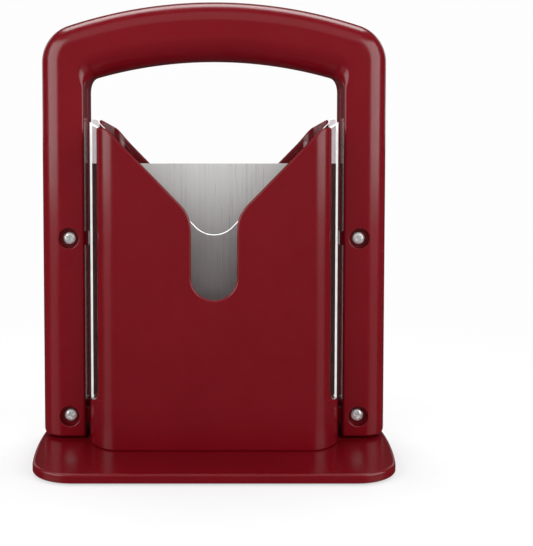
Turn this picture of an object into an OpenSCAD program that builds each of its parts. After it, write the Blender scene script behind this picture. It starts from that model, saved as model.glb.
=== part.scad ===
// Guillotine slicer for ring shaped bread. A steel blade clamped in a tall arched handle frame
// slides down between two V notched shells that stand on a flat base plate.
// Millimetres, +Z up, the front faces -Y. The origin lies on the table under the
// middle of the base plate, and the handle frame is shown fully down.

/* [Base plate and feet] */
// Width of the base plate
base_w = 196.4; // [190:0.2:200]
// Depth of the base plate
base_d = 138.2; // [130:0.2:150]
// Thickness of the base plate
base_t = 4.8; // [4.2:0.2:6]
// Corner radius of the base plate
base_r = 24; // [18:1:30]
// Radius of the base plate's bowed left and right sides
bow_r = 285; // [200:5:600]
// Height that the feet hold the plate off the table
foot_gap = 0.8; // [0.5:0.1:2]
// Radius of a rubber foot
foot_r = 8; // [6:0.5:9]

/* [Shells] */
// Width across the shells beside the blade
shell_w = 133; // [130:0.5:135]
// Depth across both shells
shell_d = 70; // [66:0.5:76]
// Height of the front shell's side edges above the table
shell_top = 181.4; // [176:0.2:186]
// Height by which the rear shell and its guard stand above the front ones
rear_rise = 2.4; // [0:0.2:4]
// Fall of a side edge for each millimetre away from the blade
side_fall = 0.1; // [0.05:0.01:0.15]
// Wall thickness of the shells
shell_t = 2.6; // [2:0.1:2.8]
// Radius of the shells' upright corners
shell_r = 12; // [9:0.5:14]
// Angle by which each side wall turns in towards the front
shell_turn = 8; // [4:0.5:9]
// Gap from the middle plane to a shell's side edge
blade_slot = 4.2; // [3.6:0.1:5]
// Height of the closed lower part of the shells above the table
low_top = 27; // [24:0.5:28]
// Width of the closed lower part
low_w = 139.8; // [138:0.2:140.4]
// Angle from the front at which the lower part's wider curve leaves the shell's corner
low_turn = 35; // [25:1:45]

/* [Crumb tray] */
// Height of the tray's flat middle above the table
tray_top = 24; // [20:0.5:26]
// Rise of the ramps at the tray's ends
tray_rise = 9; // [6:0.5:10]

/* [Notches] */
// Height of the notch's straight edge where the finger slot's blend starts
notch_z = 138.1; // [132:0.1:140]
// Rise of the notch's edge for each millimetre across
notch_rise = 1.025; // [0.9:0.005:1.05]
// Width of the finger slot
slot_w = 24.6; // [20:0.1:28]
// Height of the finger slot's lowest point
slot_z = 86.8; // [70:0.2:95]
// Radius of the blend between notch and finger slot
blend_r = 18; // [12:1:22]

/* [Clear guards] */
// Wall thickness of the clear guards
guard_t = 1.6; // [1.2:0.1:2]
// Height of the lowest point of a guard's notch
guard_z = 121.8; // [116:0.2:124]
// Radius at the bottom of a guard's notch
guard_r = 13.6; // [12:0.2:20]
// Width across the side flanges of a guard
flange_w = 142.8; // [140.8:0.2:143]

/* [Handle frame] */
// Width of the handle frame
frame_w = 195.6; // [192:0.2:200]
// Depth of the handle frame
frame_d = 28; // [28:0.5:32]
// Height of the middle of the handle above the table
frame_top = 251.9; // [248:0.1:258]
// Radius of the handle's upper outline
arch_r = 265; // [250:1:290]
// Radius of the frame's outer top corners
arch_corner_r = 22; // [18:0.5:26]
// Clear width between the two legs
inner_w = 144.6; // [144.4:0.1:146]
// Height of the middle of the grip's underside
grip_z = 219; // [214:0.5:222]
// Radius of the grip's underside
grip_r = 245; // [230:1:270]
// Radius of the opening's top corners
grip_corner_r = 8; // [6:0.5:12]
// Gap between the legs and the base plate with the frame down
leg_gap = 1.2; // [1:0.1:4]
// Rounding of the frame's outer edges
round_out = 13.5; // [8:0.5:13.5]
// Rounding of the legs' inner edges
round_in = 1.6; // [1:0.1:3]
// Rounding under the grip
round_grip = 13; // [8:0.5:13]

/* [Blade] */
// Thickness of the blade
blade_t = 1.2; // [1:0.1:1.6]
// Height of the blade's top edge with the frame down
blade_top = 161; // [150:0.1:165]
// Lowest point of the cutting edge with the frame down
blade_low = 9.6; // [9:0.1:12]
// Width of the blade from end to end
blade_w = 174; // [168:1:180]
// Width of the part of the blade that sinks into the crumb tray
edge_w = 114; // [106:1:115]
// Number of scallops along the cutting edge
scallops = 24; // [12:2:32]

/* [Screws] */
// Distance of the frame's screws from the middle
screw_x = 81.2; // [80:0.1:82]
// Height of the lower frame screws
screw_low_z = 18.3; // [18:0.1:20]
// Height of the upper frame screws
screw_high_z = 118.7; // [110:0.1:125]
// Radius of the recess in front of a screw head
recess_r = 5.65; // [5:0.05:6.2]
// Radius of a screw head
head_r = 3.4; // [3:0.1:3.8]

/* [Hidden] */
$fn = 64;

plastic_red = [0.44, 0.06, 0.10];
clear_grey = [0.85, 0.87, 0.88, 0.45];
steel = [0.78, 0.78, 0.78];
rubber_dark = [0.12, 0.12, 0.12];

// Cuts run this far past a face
over = 1;
// Faces of one body that only meet keep this gap
meet = 0.1;

base_low = foot_gap;
base_top = foot_gap + base_t;
base_edge_r = 1.3;
bow_cx = base_w / 2 - bow_r;
base_cy = base_d / 2 - base_r;
base_cx = bow_cx + sqrt(pow(bow_r - base_r, 2) - base_cy * base_cy);
bow_angle = asin(base_cy / (bow_r - base_r));
foot_from_side = 18.4;
foot_from_front = 16.8;
foot_x = base_w / 2 - foot_from_side;
foot_y = base_d / 2 - foot_from_front;
foot_sink = 1.4;
pad_fit = 0.2;

screw_from_wall = 6.4;
shell_screw_y = shell_d / 2 - screw_from_wall;
shell_screw_x = 50;
tray_screw_x = 34;
tray_screw_y = 13;
small_head_r = 3.2;
small_head_h = 1.8;
small_core_r = 1.4;
small_pilot_r = 1.45;
small_hole_r = 1.8;
small_head_fit = 0.4;
shell_post_r = 4.2;
shell_post_h = 12;

corner_cy = shell_d / 2 - shell_r;
turn_n = [cos(shell_turn), -sin(shell_turn)];
corner_reach = shell_w / 2 * turn_n[0] - blade_slot * turn_n[1] - shell_r;
corner_cx = (corner_reach + corner_cy * turn_n[1]) / turn_n[0];
low_from = [corner_cx + shell_r * sin(low_turn), -corner_cy - shell_r * cos(low_turn)];
low_r = (low_w / 2 - low_from[0]) / (1 - sin(low_turn));
low_c = [low_w / 2 - low_r, low_from[1] + low_r * cos(low_turn)];

notch_blend_out = 0.6;
notch_x = slot_w / 2 + blend_r * (1 - cos(45)) + notch_blend_out;
notch_angle = atan(notch_rise);

guard_gap = 0.4;
guard_rise = 3;
guard_low = low_top + 0.3;
flange_y = blade_slot - 0.2;
guard_turn = 90 - notch_angle;
guard_x = guard_r * sin(notch_angle);
guard_edge_z = guard_z + guard_r * (1 - cos(notch_angle));

half_t = frame_d / 2;
round_steps = 8;
arc_steps = 9;
arch_cz = frame_top - arch_r;
top_cx = frame_w / 2 - arch_corner_r;
top_cz = arch_cz + sqrt(pow(arch_r - arch_corner_r, 2) - top_cx * top_cx);
top_angle = atan2(top_cz - arch_cz, top_cx);
grip_cz = grip_z - grip_r;
in_cx = inner_w / 2 - grip_corner_r;
in_cz = grip_cz + sqrt(pow(grip_r - grip_corner_r, 2) - in_cx * in_cx);
in_angle = atan2(in_cz - grip_cz, in_cx);
leg_low = base_top + leg_gap;
leg_stub = 2;
hollow_top = in_cz - 6;

blade_fit = 0.05;
blade_shoulder = low_top + 0.15;
blade_tab_x = inner_w / 2 + 0.3;
blade_tab_low = 11;
edge_low_z = 20;
scallop_depth = 1.1;
blade_hole_r = 2;

recess_depth = 5;
screw_core_r = 1.5;
screw_hole_r = 1.9;
screw_pilot_r = 1.55;
screw_head_h = 2.8;
screw_reach = 8.5;
cross_w = 0.95;
cross_len = 3.6;
cross_deep = 1.3;

glide_h = 8;
glide_half = 9;
glide_reach = 1.5;
glide_seat = 3.7;
glide_fit = 0.15;
glide_pin_x = inner_w / 2 + 2.6;
glide_pin_r = 1;

function arc(c, r, from, to, steps) = [
  for (i = [0:steps])
    let (a = from + (to - from) * i / steps)
    c + r * [cos(a), sin(a)]];
function flip_x(points) = [for (i = [len(points) - 1:-1:0]) [-points[i][0], points[i][1]]];

// The shells' outline seen from above, drawn inwards by inset and ending at y = -back
module plan(inset, back) {
  r = shell_r - inset;
  c = [corner_cx, -corner_cy];
  side_x = c[0] + r * turn_n[0] + (r * -turn_n[1] - back + corner_cy) * tan(shell_turn);
  right = concat([[side_x, -back]], arc(c, r, -shell_turn, -90, 8));
  polygon(concat(right, flip_x(right)));
}

// The closed lower part's right hand wing seen from above: a wider curve that runs from the
// middle of the shell's wall round to the side
module low_wing() {
  past_wall = 7;
  outer = arc(low_c, low_r, 0, low_turn - 90 - past_wall, 7);
  inner = arc([corner_cx, -corner_cy], shell_r - shell_t / 2, low_turn - 90, -shell_turn, 4);
  polygon(concat([[low_w / 2, -meet]], outer, inner, [[(shell_w - shell_t) / 2, -meet]]));
}

// The opening of a shell seen from the front: notch, blend and finger slot
module shell_opening(rise) {
  top = shell_top + rise + over;
  far_x = notch_x + (top - notch_z - rise) / notch_rise;
  half = slot_w / 2;
  drop = blend_r * tan(guard_turn / 2);
  corner_z = notch_z - (notch_x - half) * notch_rise;
  blend_c = [half + blend_r, corner_z + rise - drop];
  blend = arc(blend_c, blend_r, 180 - guard_turn, 180, 8);
  end = arc([0, slot_z + half], half, 0, -84, 12);
  edge = concat([[far_x, top]], blend, end);
  polygon(concat(edge, flip_x(edge)));
}

// The notch of a clear guard seen from the front
module guard_opening(rise) {
  top = shell_top + guard_rise + rise + over;
  far_x = guard_x + (top - guard_edge_z - rise) / notch_rise;
  low = arc([0, guard_z + rise + guard_r], guard_r, -90 + notch_angle, -87, 8);
  edge = concat([[far_x, top]], low);
  polygon(concat(edge, flip_x(edge)));
}

// Pushes an outline seen from the front through the part, from y = from to y = to
module through(from, to) {
  translate([0, to, 0]) rotate([90, 0, 0]) linear_extrude(to - from) children();
}

module at_corners(x, y) {
  for (sx = [-1, 1], sy = [-1, 1]) translate([sx * x, sy * y, 0]) children();
}

module shell_screw_spots() {
  for (x = [-shell_screw_x, 0, shell_screw_x]) translate([x, -shell_screw_y, 0]) children();
}

module tray_screw_spots() {
  for (side = [-1, 1]) translate([side * tray_screw_x, side * tray_screw_y, 0]) children();
}

module all_base_screw_spots() {
  shell_screw_spots() children();
  mirror([0, 1, 0]) shell_screw_spots() children();
  tray_screw_spots() children();
}

// The plate's outline, drawn inwards by inset
function base_outline(inset) =
  let (right = concat(
    arc([base_cx, -base_cy], base_r - inset, -90, -bow_angle, 6),
    arc([bow_cx, 0], bow_r - inset, 1 - bow_angle, bow_angle - 1, 8),
    arc([base_cx, base_cy], base_r - inset, bow_angle, 90, 6)))
  concat(right, flip_x(right));

// The plate without its holes, one ring of points for each step up its side and rounded upper edge
module base_body() {
  e = base_edge_r;
  steps = 4;
  edge = [
    for (k = [0:steps])
      let (a = 90 * k / steps)
      [e * (1 - cos(a)), base_t - e + e * sin(a)]];
  levels = concat([[0, 0]], edge);
  n = len(base_outline(0));
  points = [for (level = levels, p = base_outline(level[0])) [p[0], p[1], base_low + level[1]]];
  sides = [
    for (k = [0:len(levels) - 2], j = [0:n - 1])
      let (a = k * n + j, b = k * n + (j + 1) % n)
      each [[a, a + n, b], [b, a + n, b + n]]];
  top = (len(levels) - 1) * n;
  across = [for (i = [0:n / 2 - 2]) [i, i + 1, n - 2 - i, n - 1 - i]];
  caps = concat(across, [for (q = across) [for (i = [3:-1:0]) top + q[i]]]);
  polyhedron(points, concat(caps, sides));
}

module base_plate() {
  color(plastic_red) difference() {
    base_body();
    at_corners(foot_x, foot_y) translate([0, 0, base_low - over])
      cylinder(h = foot_sink + over, r = foot_r + pad_fit);
    all_base_screw_spots() translate([0, 0, base_low - over]) {
      cylinder(h = base_t + 2 * over, r = small_hole_r);
      cylinder(h = small_head_h + pad_fit + over, r = small_head_r + small_head_fit);
    }
    base_pockets();
  }
}

// Shallow pockets that lighten the underside and leave ribs between them
module base_pockets() {
  deep = 2;
  side_pocket = [36, 68];
  side_x = base_w / 2 - 27;
  front_pocket = [112, 20];
  front_y = base_d / 2 - 16;
  middle_pocket = [44, 38];
  translate([0, 0, base_low - over]) linear_extrude(deep + over) {
    for (side = [-1, 1]) {
      translate([side * side_x, 0]) square(side_pocket, center = true);
      translate([0, side * front_y]) square(front_pocket, center = true);
    }
    square(middle_pocket, center = true);
  }
}

module foot(side_x, side_y) {
  color(rubber_dark) translate([side_x * foot_x, side_y * foot_y, 0])
    cylinder(h = foot_gap + foot_sink, r = foot_r);
}

// The room above a shell's side edges, seen from the side
module above_sides(rise) {
  top = shell_top + rise;
  low = top - side_fall * (shell_d - blade_slot);
  profile = [[0, top], [-blade_slot, top], [-shell_d, low], [-shell_d, top + over], [0, top + over]];
  rotate([90, 0, 90]) linear_extrude(2 * shell_w, center = true) polygon(profile);
}

// One shell, drawn as the front one, with its notch and top raised by rise
module shell(rise) {
  tall = shell_top + rise + over / 2 - base_top;
  difference() {
    translate([0, 0, base_top]) linear_extrude(tall) plan(0, blade_slot);
    translate([0, 0, base_top - over]) linear_extrude(tall + 2 * over) plan(shell_t, -over);
    through(-shell_d, 0) shell_opening(rise);
    above_sides(rise);
  }
  for (side = [0, 1]) mirror([side, 0, 0])
    translate([0, 0, base_top]) linear_extrude(low_top - base_top) low_wing();
  shell_posts();
}

// Screw posts on the inside of the front wall
module shell_posts() {
  into_wall = 0.5;
  front = 20;
  difference() {
    shell_screw_spots() translate([0, 0, base_top]) cylinder(h = shell_post_h, r = shell_post_r);
    shell_screw_spots() translate([0, 0, base_top - over]) cylinder(h = shell_post_h, r = small_pilot_r);
    translate([-shell_w, into_wall - shell_d / 2 - front, 0]) cube([2 * shell_w, front, shell_top]);
  }
}

module front_shell() { color(plastic_red) shell(0); }

module rear_shell() { color(plastic_red) mirror([0, 1, 0]) shell(rear_rise); }

// The clear guard's walls behind the shell and its flange beside the blade
module guard_walls(rise) {
  tall = shell_top + guard_rise + rise - guard_low;
  inset = shell_t + guard_gap;
  back = flange_y - 3;
  difference() {
    translate([0, 0, guard_low]) linear_extrude(tall) plan(inset, flange_y);
    translate([0, 0, guard_low - over]) linear_extrude(tall + 2 * over) plan(inset + guard_t, back);
    through(-shell_d, 0) guard_opening(rise);
  }
}

// One flange seen from the front, with a slanted top on the front guard and a round one on the rear
module flange_outline(slanted, rise) {
  out_x = flange_w / 2;
  in_x = shell_w / 2 - 5;
  peak = shell_top + guard_rise + rise;
  slant = [5.6, 3.3];
  round_r = 2.4;
  round_x = out_x - 2.2;
  in_drop = 6.8;
  top = slanted
    ? [[out_x, peak], [out_x - slant[0], peak - slant[1]]]
    : concat([[out_x, peak]], arc([round_x, peak - round_r], round_r, 90, 180, 6));
  polygon(concat([[in_x, guard_low], [out_x, guard_low]], top, [[in_x, peak - in_drop]]));
}

module guard(slanted, rise) {
  guard_walls(rise);
  for (side = [0, 1]) mirror([side, 0, 0])
    through(-flange_y, -flange_y + guard_t) flange_outline(slanted, rise);
}

module front_guard() { color(clear_grey) guard(true, 0); }

module rear_guard() { color(clear_grey) mirror([0, 1, 0]) guard(false, rear_rise); }

// Seen from the front: a flat middle with a ramp at each end that cradles the round load
module tray_outline() {
  from_side = 8.5;
  half = shell_w / 2 - from_side;
  flat = 40;
  edge = [[half, base_top], [half, tray_top + tray_rise], [flat, tray_top]];
  polygon(concat(edge, flip_x(edge)));
}

module crumb_tray() {
  wide = 24;
  slot = 1.6;
  floor_t = 2.6;
  slot_low = base_top + floor_t;
  color(plastic_red) difference() {
    through(-wide, wide) tray_outline();
    translate([-shell_w, -slot, slot_low]) cube([2 * shell_w, 2 * slot, shell_top]);
    for (side = [0, 1]) mirror([0, side, 0]) tray_pockets(wide, slot);
    tray_screw_spots() translate([0, 0, base_top - over]) cylinder(h = shell_post_h, r = small_pilot_r);
  }
}

// Pockets under the tray, kept clear of the screw posts
module tray_pockets(wide, slot) {
  wall = 2;
  low = base_top - over;
  inner = slot + wall;
  size = [wide - wall - inner, tray_top - wall - low];
  middle = 40;
  end = 12;
  end_x = 44;
  translate([-middle / 2, inner, low]) cube([middle, size[0], size[1]]);
  for (x = [-end_x - end, end_x]) translate([x, inner, low]) cube([end, size[0], size[1]]);
}

// A small flat headed screw that stands on its head in the plate's underside
module small_screw() {
  head_low = base_low + 0.15;
  into_post = shell_post_h - 3;
  color(steel) difference() {
    union() {
      translate([0, 0, head_low]) cylinder(h = small_head_h, r = small_head_r);
      translate([0, 0, head_low]) cylinder(h = base_t + into_post, r = small_core_r);
    }
    cross_recess(head_low);
  }
}

// A cross recess cut into a head whose face lies at height z
module cross_recess(z) {
  translate([0, 0, z]) for (turn = [0, 90]) rotate(turn)
    cube([cross_len, cross_w, 2 * cross_deep], center = true);
}

module base_screws() {
  shell_screw_spots() small_screw();
  mirror([0, 1, 0]) shell_screw_spots() small_screw();
}

module tray_screws() { tray_screw_spots() small_screw(); }

// Outline points of the frame as [x, z, outward x, outward z, edge rounding]
function on_arc(c, r, from, to, steps, way, round_from, round_to) = [
  for (i = [0:steps])
    let (
      a = from + (to - from) * i / steps,
      n = [cos(a), sin(a)],
      rounding = round_from + (round_to - round_from) * i / steps)
    [c[0] + r * n[0], c[1] + r * n[1], way * n[0], way * n[1], rounding]];
function flip_ring(points) = [
  for (i = [len(points) - 1:-1:0])
    let (p = points[i])
    if (abs(p[0]) > 0.001) [-p[0], p[1], -p[2], p[3], p[4]]];
function outer_ring() = concat(
  [[frame_w / 2, leg_low - leg_stub, 1, 0, round_out]],
  on_arc([top_cx, top_cz], arch_corner_r, 0, top_angle, arc_steps, 1, round_out, round_out),
  on_arc([0, arch_cz], arch_r, top_angle + 1.5, 90, arc_steps, 1, round_out, round_out));
function inner_ring() = concat(
  on_arc([0, grip_cz], grip_r, 90, in_angle + 1, arc_steps, -1, round_grip, round_grip),
  on_arc([in_cx, in_cz], grip_corner_r, in_angle, 0, arc_steps, -1, round_grip, round_in),
  [[inner_w / 2, leg_low - leg_stub, -1, 0, round_in]]);

// Half of the frame in front of the middle plane, one ring of points for each step round its edges
module frame_half_body() {
  loop = concat(outer_ring(), flip_ring(outer_ring()), flip_ring(inner_ring()), inner_ring());
  n = len(loop);
  back = [for (p = loop) [p[0], 0, p[1]]];
  rounded = [
    for (k = [0:round_steps], p = loop)
      let (a = 90 * k / round_steps, inset = p[4] * (1 - cos(a)))
      [p[0] - p[2] * inset, -(half_t - p[4] + p[4] * sin(a)), p[1] - p[3] * inset]];
  sides = [
    for (k = [0:round_steps], j = [0:n - 1])
      let (a = k * n + j, b = k * n + (j + 1) % n)
      each [[a, b + n, b], [a, a + n, b + n]]];
  last = (round_steps + 1) * n;
  across = [for (i = [0:n / 2 - 2]) [i, i + 1, n - 2 - i, n - 1 - i]];
  caps = concat(across, [for (q = across) [for (i = [3:-1:0]) last + q[i]]]);
  below = 2 * leg_stub;
  difference() {
    polyhedron(concat(back, rounded), concat(caps, sides));
    translate([-frame_w, -frame_d, leg_low - below]) cube([2 * frame_w, 2 * frame_d, below]);
  }
}

// The hollow of the grip seen from the front
module grip_hollow() {
  low = 4.8;
  high = 6;
  start = 78;
  upper = arc([0, arch_cz], arch_r - high, start, 180 - start, 16);
  lower = arc([0, grip_cz], grip_r + low, 180 - start, start, 16);
  polygon(concat(upper, lower));
}

// Room for the blade, the glides and the hollows inside one half
module frame_half_cuts() {
  front_wall = 5.5;
  side_wall = 3.2;
  outer_wall = 5;
  deep = half_t - front_wall;
  seat = blade_t / 2 + blade_fit;
  leg_x = inner_w / 2 + side_wall;
  leg_wide = frame_w / 2 - outer_wall - leg_x;
  clamp = 10;
  tab_fit = 0.3;
  tab_wide = blade_w / 2 - inner_w / 2 + over + tab_fit;
  tab_tall = blade_top - blade_tab_low + 2 * tab_fit;
  glide_deep = glide_half + glide_fit;
  glide_tall = glide_h + 2 * glide_fit;
  for (side = [0, 1]) mirror([side, 0, 0]) {
    translate([inner_w / 2 - over, -seat, blade_tab_low - tab_fit])
      cube([tab_wide, seat + over, tab_tall]);
    translate([leg_x, -deep, screw_low_z + clamp])
      cube([leg_wide, deep + over, screw_high_z - screw_low_z - 2 * clamp]);
    translate([leg_x, -deep, screw_high_z + clamp])
      cube([leg_wide, deep + over, hollow_top - screw_high_z - clamp]);
    for (z = [screw_low_z, screw_high_z])
      translate([inner_w / 2 - over, -glide_deep, z - glide_tall / 2])
        cube([glide_seat + glide_fit + over, glide_deep + over, glide_tall]);
  }
  through(-deep, over) grip_hollow();
}

module screw_spots() {
  for (x = [-screw_x, screw_x], z = [screw_low_z, screw_high_z]) translate([x, 0, z]) children();
}

// A cylinder along Y from y = from to y = to
module along_y(from, to, r) {
  translate([0, to, 0]) rotate([90, 0, 0]) cylinder(h = to - from, r = r);
}

module handle_front() {
  color(plastic_red) difference() {
    frame_half_body();
    frame_half_cuts();
    screw_spots() {
      along_y(-half_t - over, recess_depth - half_t, recess_r);
      along_y(-half_t, over, screw_hole_r);
    }
  }
}

module handle_rear() {
  color(plastic_red) difference() {
    mirror([0, 1, 0]) difference() {
      frame_half_body();
      frame_half_cuts();
    }
    screw_spots() along_y(-over, screw_reach + 1.5, screw_pilot_r);
  }
}

// Half of the cutting edge, from the middle outwards, as scallops between points
function edge_points() = [
  for (i = [0:scallops / 2 - 1], t = [0:0.25:0.99])
    let (u = (i + t) / (scallops / 2))
    [u * edge_w / 2, blade_low + u * (edge_low_z - blade_low) + scallop_depth * 4 * t * (1 - t)]];

module blade_outline() {
  side = concat(
    edge_points(),
    [[edge_w / 2, edge_low_z], [edge_w / 2, blade_shoulder]],
    [[blade_tab_x, blade_shoulder], [blade_tab_x, blade_tab_low]],
    [[blade_w / 2, blade_tab_low], [blade_w / 2, blade_top]]);
  left = [for (i = [len(side) - 1:-1:1]) [-side[i][0], side[i][1]]];
  polygon(concat(side, left));
}

module blade() {
  color(steel) difference() {
    through(-blade_t / 2, blade_t / 2) blade_outline();
    screw_spots() along_y(-over, over, blade_hole_r);
    for (x = [-glide_pin_x, glide_pin_x], z = [screw_low_z, screw_high_z]) translate([x, 0, z])
      along_y(-over, over, glide_pin_r + glide_fit);
  }
}

// A pan head screw that enters from the front
module handle_screw(side, z) {
  seat = half_t - recess_depth;
  rim_h = 0.9;
  dome_h = screw_head_h - rim_h;
  dome_r = (head_r * head_r + dome_h * dome_h) / (2 * dome_h);
  dome_angle = asin(head_r / dome_r);
  dome = arc([0, seat + screw_head_h - dome_r], dome_r, 90 - dome_angle, 90, 6);
  tip = 1;
  shank = [[0, -screw_reach], [screw_core_r - tip / 2, -screw_reach], [screw_core_r, tip - screw_reach]];
  color(steel) translate([side * screw_x, 0, z]) rotate([90, 0, 0]) difference() {
    rotate_extrude() polygon(concat(shank, [[screw_core_r, seat], [head_r, seat]], dome));
    cross_recess(seat + screw_head_h);
  }
}

// A glide that straddles both guard flanges and is pinned through the blade
module glide(side, z) {
  reach_x = inner_w / 2 - glide_reach;
  wide = glide_reach + glide_seat;
  room = flange_y + 1;
  slit = blade_t / 2 + 0.1;
  color(plastic_red) mirror([side < 0 ? 1 : 0, 0, 0]) translate([0, 0, z]) {
    translate([0, 0, -glide_h / 2]) difference() {
      translate([reach_x, -glide_half, 0]) cube([wide, 2 * glide_half, glide_h]);
      translate([reach_x - over, -room, -over]) cube([glide_reach + over, 2 * room, glide_h + 2 * over]);
      translate([reach_x - over, -slit, -over]) cube([wide + 2 * over, 2 * slit, glide_h + 2 * over]);
    }
    translate([glide_pin_x, 0, 0]) along_y(-room, room, glide_pin_r);
  }
}

base_plate();
foot(-1, -1);  // foot_front_left
foot(1, -1);  // foot_front_right
foot(-1, 1);  // foot_rear_left
foot(1, 1);  // foot_rear_right
front_shell();
rear_shell();
front_guard();
rear_guard();
crumb_tray();
base_screws();
tray_screws();
handle_front();
handle_rear();
blade();
handle_screw(-1, screw_high_z);  // handle_screw_upper_left
handle_screw(1, screw_high_z);  // handle_screw_upper_right
handle_screw(-1, screw_low_z);  // handle_screw_lower_left
handle_screw(1, screw_low_z);  // handle_screw_lower_right
glide(-1, screw_high_z);  // glide_upper_left
glide(1, screw_high_z);  // glide_upper_right
glide(-1, screw_low_z);  // glide_lower_left
glide(1, screw_low_z);  // glide_lower_right
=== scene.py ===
from math import atan, cos, degrees, hypot, pi, radians, sin, sqrt, tan

import bpy
import bmesh
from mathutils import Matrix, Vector


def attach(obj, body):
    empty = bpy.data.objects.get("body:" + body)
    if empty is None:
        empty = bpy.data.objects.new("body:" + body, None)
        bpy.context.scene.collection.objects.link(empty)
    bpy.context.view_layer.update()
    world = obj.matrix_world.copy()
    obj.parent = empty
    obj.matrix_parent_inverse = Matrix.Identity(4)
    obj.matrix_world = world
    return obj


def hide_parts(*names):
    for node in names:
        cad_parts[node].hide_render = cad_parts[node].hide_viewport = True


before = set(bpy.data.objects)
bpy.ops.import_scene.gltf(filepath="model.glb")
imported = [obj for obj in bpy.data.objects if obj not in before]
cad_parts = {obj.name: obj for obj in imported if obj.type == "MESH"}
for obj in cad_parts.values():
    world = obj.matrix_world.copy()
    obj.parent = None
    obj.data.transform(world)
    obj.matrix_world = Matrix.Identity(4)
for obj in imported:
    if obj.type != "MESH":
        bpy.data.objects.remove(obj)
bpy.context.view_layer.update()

MM = 0.001


# Points and curves, in millimetres


def arc(cx, cy, r, start, end, steps):
    """Points on a circle from start to end in degrees, both included."""
    turn = [radians(start + (end - start) * i / steps) for i in range(steps + 1)]
    return [(cx + r * cos(a), cy + r * sin(a)) for a in turn]


def lerp(a, b, t):
    return tuple(p + (q - p) * t for p, q in zip(a, b))


def smooth(t):
    t = min(1, max(0, t))
    return t * t * (3 - 2 * t)


def spread(a, b, steps):
    """Values after a up to b, b included."""
    return [a + (b - a) * i / steps for i in range(1, steps + 1)]


def inward(points, closed=False):
    """For each point of a path that runs anticlockwise round the material, the mitred step into it."""
    out = []
    n = len(points)
    for i, p in enumerate(points):
        before = points[(i - 1) % n] if closed or i else p
        after = points[(i + 1) % n] if closed or i < n - 1 else p
        sides = []
        for a, b in ((before, p), (p, after)):
            d = hypot(b[0] - a[0], b[1] - a[1])
            if d > 1e-9:
                sides.append((-(b[1] - a[1]) / d, (b[0] - a[0]) / d))
        nx, nz = sum(s[0] for s in sides), sum(s[1] for s in sides)
        size = hypot(nx, nz)
        nx, nz = nx / size, nz / size
        stretch = 1 / max(0.5, nx * sides[0][0] + nz * sides[0][1])
        out.append((nx * stretch, nz * stretch))
    return out


# Which of its piece's materials a face takes
ON_WALL, ON_EDGE, ON_FLANGE = 0, 1, 2


class Shape:
    """Gathers faces in millimetres and turns them into one piece of the object."""

    def __init__(self):
        self.points, self.faces, self.kinds = [], [], []
        self.kind = ON_WALL

    def face(self, points):
        start = len(self.points)
        self.points += points
        self.faces.append(range(start, start + len(points)))
        self.kinds.append(self.kind)

    def grid(self, rows, closed=False):
        """Quads between rows of points. closed joins each row's end to its start."""
        wide, start = len(rows[0]), len(self.points)
        for row in rows:
            self.points += row
        for j in range(len(rows) - 1):
            for i in range(wide if closed else wide - 1):
                a, b = start + j * wide + i, start + j * wide + (i + 1) % wide
                self.faces.append((a, b, b + wide, a + wide))
                self.kinds.append(self.kind)

    def box(self, low, high):
        (x0, y0, z0), (x1, y1, z1) = low, high
        ring = [(x0, y0), (x1, y0), (x1, y1), (x0, y1)]
        self.grid([[(x, y, z) for x, y in ring] for z in (z0, z1)], closed=True)
        for z in (z0, z1):
            self.face([(x, y, z) for x, y in ring])

    def lathe(self, profile, place, steps):
        """Turns (radius, along) points round an axis. place puts (x, y, along) where it belongs."""
        turns = [2 * pi * i / steps for i in range(steps)]
        rows = [[place(r * cos(a), r * sin(a), h) for a in turns] for r, h in profile if r > 1e-6]
        self.grid(rows, closed=True)
        for (r, h), row in ((profile[0], rows[0]), (profile[-1], rows[-1])):
            if r > 1e-6:
                self.face(row)
            else:
                tip = place(0, 0, h)
                for i in range(steps):
                    self.face([row[i], row[(i + 1) % steps], tip])

    def mesh(self, name, angle):
        mesh = bpy.data.meshes.new(name)
        mesh.from_pydata([Vector(p) * MM for p in self.points], [], [list(f) for f in self.faces])
        mesh.polygons.foreach_set("material_index", self.kinds)
        bm = bmesh.new()
        bm.from_mesh(mesh)
        bmesh.ops.remove_doubles(bm, verts=bm.verts, dist=2e-6)
        bmesh.ops.dissolve_degenerate(bm, edges=bm.edges, dist=1e-6)
        bmesh.ops.recalc_face_normals(bm, faces=bm.faces)
        bm.to_mesh(mesh)
        bm.free()
        mesh.shade_smooth()
        mesh.set_sharp_from_angle(angle=radians(angle))
        return mesh

    def object(self, name, angle=32):
        obj = bpy.data.objects.new(name, self.mesh(name, angle))
        bpy.context.scene.collection.objects.link(obj)
        return obj


def along_z(x, y):
    return lambda a, b, h: (x + a, y + b, h)


def along_y(x, z):
    return lambda a, b, h: (x + a, h, z + b)


def cut(obj, shape, join=False, angle=32):
    """Takes a shape away from an object for good, or joins it on."""
    tool = shape.object("tool")
    modifier = obj.modifiers.new("cut", "BOOLEAN")
    modifier.operation = "UNION" if join else "DIFFERENCE"
    modifier.solver = "EXACT"
    modifier.object = tool
    graph = bpy.context.evaluated_depsgraph_get()
    done = bpy.data.meshes.new_from_object(obj.evaluated_get(graph))
    obj.modifiers.clear()
    old, obj.data = obj.data, done
    bpy.data.meshes.remove(old)
    bpy.data.objects.remove(tool)
    done.shade_smooth()
    done.set_sharp_from_angle(angle=radians(angle))
    return obj


def bevel(obj, width, segments):
    """Rounds the sharp edges of a piece."""
    modifier = obj.modifiers.new("rounding", "BEVEL")
    modifier.width = width * MM
    modifier.segments = segments
    modifier.limit_method = "ANGLE"
    modifier.angle_limit = radians(35)
    modifier.harden_normals = False


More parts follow.
